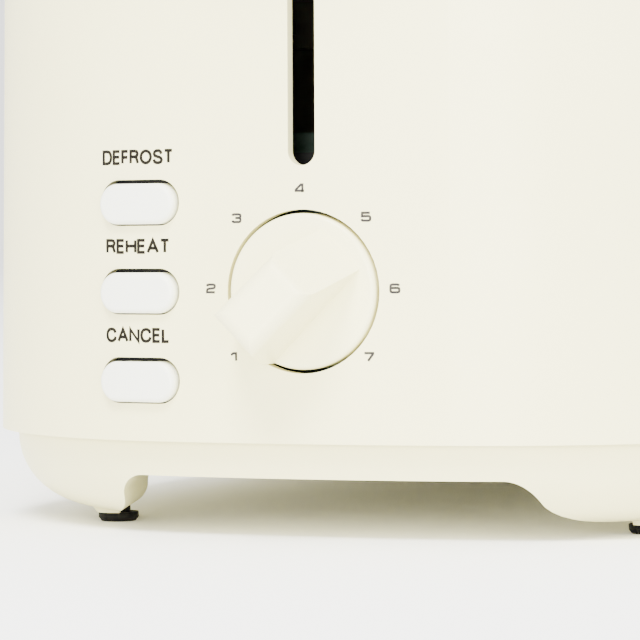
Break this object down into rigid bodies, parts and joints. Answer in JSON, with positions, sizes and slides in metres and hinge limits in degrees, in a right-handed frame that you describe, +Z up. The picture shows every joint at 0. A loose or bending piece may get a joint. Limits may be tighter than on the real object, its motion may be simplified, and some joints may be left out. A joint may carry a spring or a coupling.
{
  "type": "pop up toaster",
  "caption": "Bow-ended moulded toaster body on corner feet, with a sprung bread carriage, round browning dial, push buttons and a slide-out crumb tray.",
  "frame": {"origin": "bottom centre of the whole toaster's box, on the surface it stands on", "axes": "+Z up, -Y towards the control end, +X to the right of someone facing the controls"},
  "size_m": [0.188, 0.319, 0.19],
  "materials": {
    "cream_plastic": "fine satin moulding",
    "cream_knob": "satin moulding",
    "white_button": "satin moulding",
    "brushed_steel": "lengthwise brushed",
    "plated_sheet": "plated sheet",
    "wire_chrome": "bright plated wire",
    "screw_steel": "plain steel",
    "rubber_pad": "matt",
    "mica": "pressed flake sheet",
    "nichrome": "oxidised ribbon",
    "circuit_board": "laminate",
    "black_plastic": "moulded",
    "white_moulding": "moulded",
    "capacitor_case": "moulded",
    "copper_winding": "enamelled wire",
    "brass_parts": "plain",
    "lead_sleeve": "silicone sleeve"
  },
  "bodies": {
    "housing": {"outer_shell": "cream_plastic", "base": "cream_plastic", "top_plate": "brushed_steel", "slot_liner_left": "plated_sheet", "slot_liner_right": "plated_sheet", "rubber_feet": "rubber_pad", "base_screws": "screw_steel", "chassis_screws": "screw_steel", "board_screws": "screw_steel", "chassis_front": "plated_sheet", "chassis_rear": "plated_sheet", "heat_shield_left": "plated_sheet", "heat_shield_right": "plated_sheet", "heater_board_left": "mica", "heater_board_centre": "mica", "heater_board_right": "mica", "heating_ribbon_left": "nichrome", "heating_ribbon_centre": "nichrome", "heating_ribbon_right": "nichrome", "guide_rod_left": "wire_chrome", "guide_rod_right": "wire_chrome", "return_spring": "screw_steel", "control_board": "circuit_board", "power_board": "circuit_board", "board_bracket": "black_plastic", "browning_control": "black_plastic", "push_switches": "black_plastic", "timer_chip": "black_plastic", "magnet_core": "screw_steel", "magnet_coil": "copper_winding", "line_capacitor": "capacitor_case", "terminal_block": "white_moulding", "power_relay": "black_plastic", "mains_contacts": "brass_parts", "cord_gland": "black_plastic", "internal_leads": "lead_sleeve"},
    "carriage": {"carriage_bracket": "plated_sheet", "armature_plate": "screw_steel", "lever_arm": "plated_sheet", "lever_knob": "cream_knob", "bread_rack_left": "wire_chrome", "bread_rack_right": "wire_chrome"},
    "dial": {"browning_knob": "cream_knob", "knob_shaft": "brass_parts"},
    "defrost": {"defrost_button": "white_button"},
    "reheat": {"reheat_button": "white_button"},
    "cancel": {"cancel_button": "white_button"},
    "tray": {"crumb_tray": "plated_sheet", "tray_handle": "cream_plastic"},
    "left_outer_guide": {"guide_left_outer": "wire_chrome"},
    "left_inner_guide": {"guide_left_inner": "wire_chrome"},
    "right_inner_guide": {"guide_right_inner": "wire_chrome"},
    "right_outer_guide": {"guide_right_outer": "wire_chrome"}
  },
  "joints": [
    {"name": "carriage_slide", "type": "slide", "parent": "housing", "child": "carriage", "axis": [0, 0, 1], "range_m": [-0.07, 0], "stiffness_N_per_m": 110, "springref_m": 0.03, "deforming": ["return_spring"]},
    {"name": "dial_turn", "type": "hinge", "parent": "housing", "child": "dial", "pos_m": [0, -0.12, 0.0488], "axis": [0, 1, 0], "range_deg": [0, 270]},
    {"name": "tray_slide", "type": "slide", "parent": "housing", "child": "tray", "axis": [0, 1, 0], "range_m": [0, 0.18]},
    {"name": "defrost_press", "type": "slide", "parent": "housing", "child": "defrost", "axis": [0, 1, 0], "range_m": [0, 0.0015], "stiffness_N_per_m": 400, "springref_m": -0.002},
    {"name": "reheat_press", "type": "slide", "parent": "housing", "child": "reheat", "axis": [0, 1, 0], "range_m": [0, 0.0015], "stiffness_N_per_m": 400, "springref_m": -0.002},
    {"name": "cancel_press", "type": "slide", "parent": "housing", "child": "cancel", "axis": [0, 1, 0], "range_m": [0, 0.0015], "stiffness_N_per_m": 400, "springref_m": -0.002},
    {"name": "left_outer_guide_swing", "type": "hinge", "parent": "housing", "child": "left_outer_guide", "pos_m": [-0.0505, 0.0095, 0.029], "axis": [0, 1, 0], "range_deg": [0, 3]},
    {"name": "left_inner_guide_swing", "type": "hinge", "parent": "housing", "child": "left_inner_guide", "pos_m": [-0.0095, 0.0095, 0.029], "axis": [0, 1, 0], "range_deg": [-3, 0]},
    {"name": "right_inner_guide_swing", "type": "hinge", "parent": "housing", "child": "right_inner_guide", "pos_m": [0.0095, 0.0095, 0.029], "axis": [0, 1, 0], "range_deg": [0, 3]},
    {"name": "right_outer_guide_swing", "type": "hinge", "parent": "housing", "child": "right_outer_guide", "pos_m": [0.0505, 0.0095, 0.029], "axis": [0, 1, 0], "range_deg": [-3, 0]}
  ],
  "couplings": [
    {"joint": "left_outer_guide_swing", "follows": "carriage_slide", "rad_per_m": -0.7472},
    {"joint": "left_inner_guide_swing", "follows": "carriage_slide", "rad_per_m": 0.7472},
    {"joint": "right_inner_guide_swing", "follows": "carriage_slide", "rad_per_m": -0.7472},
    {"joint": "right_outer_guide_swing", "follows": "carriage_slide", "rad_per_m": 0.7472}
  ]
}
